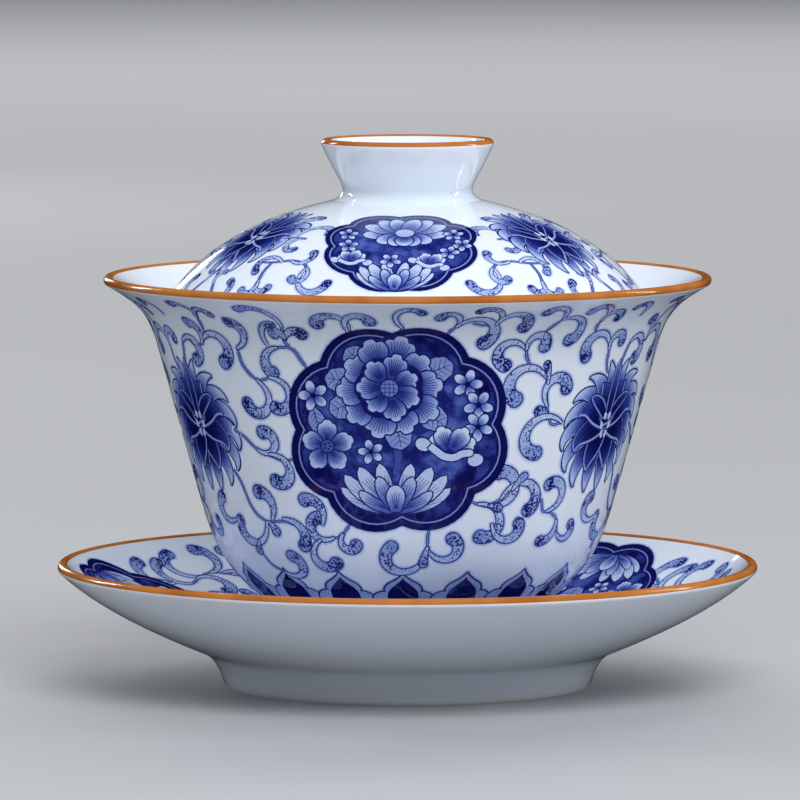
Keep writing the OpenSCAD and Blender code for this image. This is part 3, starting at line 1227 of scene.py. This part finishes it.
LID_SHOOTS = [
    (41, 19.6, 28.6, 21.4, 170, 1.3),
    (38, 19.4, 36.2, 16.2, -190, 1.2),
    (52, 24, 42, 26.6, 120, 1.1),
    (33.5, 13.3, 28, 15.6, -170, 1.2),
    (27, 11.8, 18.6, 8.4, -190, 1.4),
    (27, 11.8, 30, 9.2, 190, 1.3),
    (36.5, 12.8, 43.6, 10.2, -180, 1.3),
    (40, 8.4, 35.6, 7, -170, 1.3),
    (40, 8.4, 44, 6.2, 170, 1.2),
    (54.5, 4.6, 50.5, 7.8, -190, 1.2),
    (57, 7, 55.5, 9.6, 150, 0.9),
    (31, 5.6, 24, 4.8, -170, 1.1),
]


def lid_shapes(surface):
    ground = stems(surface, LID_STEMS, BOTH_SIDES, 0.10)
    ground += tendrils(surface, LID_SHOOTS, BOTH_SIDES, 0.16)
    dash = stroke(bent(1.3, 20, 1, 5), 0.40)
    for k in range(30):
        ground += surface.draw([(dash, wash(0.80))], 4 * k - 58, 1.7, 60)
    flower = surface.draw(bloom(9.6), 58.5, 18.6)
    medallion = surface.draw(lid_medallion(), 0, 17.9)
    return with_bleed(ground, flower, medallion, 0.32, 0.18)


SAUCER_STEMS = [
    [(17, 9), (22, 11), (26, 12), (31, 10.2), (35, 9.6), (40, 11), (45, 13.4)],
    [(22, 20), (26, 21.6), (30, 20.4), (35, 19.4), (40, 21)],
]

SAUCER_SHOOTS = [
    (22, 11, 18.5, 4.4, 190, 2.3),
    (26, 12, 24, 5.2, 170, 2.2),
    (31, 10.2, 28.5, 3.6, 180, 2.1),
    (34, 9.6, 35.5, 3.2, -170, 2.2),
    (39, 10.6, 41.5, 4, -160, 2.2),
    (43, 12.4, 48, 5, -160, 2.1),
    (54, 6.4, 53, 2.8, 140, 1.6),
    (29, 10.8, 33, 15.6, 190, 2.2),
    (37, 10, 41.5, 15.4, 180, 2.1),
    (26, 21.6, 28.5, 16.2, -190, 2.1),
    (35, 19.4, 37.6, 16.4, -150, 1.9),
    (30, 20.4, 32.5, 26.5, 180, 2.1),
    (24, 21, 22, 28.4, -170, 2),
    (40, 21, 45, 25.5, 170, 2.1),
    (38, 20.2, 40, 28.6, -160, 1.8),
    (45, 28, 52, 29, 170, 1.7),
]


def saucer_shapes(surface):
    ground = stems(surface, SAUCER_STEMS, BOTH_SIDES)
    ground += tendrils(surface, SAUCER_SHOOTS, BOTH_SIDES)
    flower = surface.draw(bloom(11.2), 60, 16.5, size=0.9)
    medallion = surface.draw(bowl_medallion(), 0, 17.8, size=0.92)
    return with_bleed(ground, flower, medallion)


painting("bowl", bowl_side, bowl_shapes, -2.5)
painting("lid", dome, lid_shapes, -2.5)
painting("saucer", dish_inside, saucer_shapes, 18)

# ---- Camera, floor and lights ----


def aimed(thing, place, target):
    """A camera or a light at a place, turned to a target, both in metres."""
    thing.location = place
    thing.rotation_mode = "QUATERNION"
    thing.rotation_quaternion = (Vector(target) - Vector(place)).to_track_quat("-Z", "Y")
    bpy.context.collection.objects.link(thing)
    return thing


def camera():
    data = bpy.data.cameras.new("camera")
    data.sensor_width = 36
    data.lens = 356.4
    data.clip_end = 50
    aside = -1.24 * MM
    eye, target = (aside, -1.3, 0.159), (aside, 0, 0.047)
    bpy.context.scene.camera = aimed(bpy.data.objects.new("camera", data), eye, target)


def floor():
    bpy.ops.mesh.primitive_circle_add(vertices=96, radius=9, fill_type="NGON")
    disc = bpy.context.object
    disc.name = "floor"
    disc.data.materials.append(pale_floor())
    disc.visible_glossy = False


def softbox(name, place, size, power, colour=(1, 1, 1), mirrored_in_glaze=True):
    data = bpy.data.lights.new(name, "AREA")
    data.shape = "RECTANGLE"
    data.size, data.size_y = size
    data.energy = power
    data.color = colour
    box = aimed(bpy.data.objects.new(name, data), place, (0, 0, 0.04))
    box.visible_glossy = mirrored_in_glaze


def studio():
    world = bpy.data.worlds.new("studio")
    world.use_nodes = True
    background = world.node_tree.nodes["Background"]
    background.inputs["Color"].default_value = (0.85, 0.90, 1.0, 1)
    background.inputs["Strength"].default_value = 0.47
    bpy.context.scene.world = world
    world.cycles_visibility.glossy = False
    cool = (0.95, 0.97, 1.0)
    softbox("overhead", (0.22, -0.76, 0.80), (0.8, 0.6), 10.4, cool, mirrored_in_glaze=False)
    softbox("backdrop", (0, 2.4, 1.8), (3.0, 2.0), 60, mirrored_in_glaze=False)
    softbox("back_right", (0.46, 0.85, 0.80), (0.09, 0.09), 0.5, mirrored_in_glaze=False)
    softbox("back_left", (-0.75, 0.55, 0.42), (0.12, 0.30), 2.0)
    softbox("far_left", (-0.42, 1.42, 0.26), (0.15, 0.30), 0.9)
    softbox("right_strip", (0.75, 0.15, 0.30), (0.08, 0.45), 1.2)
    bpy.context.scene.view_settings.view_transform = "Standard"


camera()
floor()
studio()
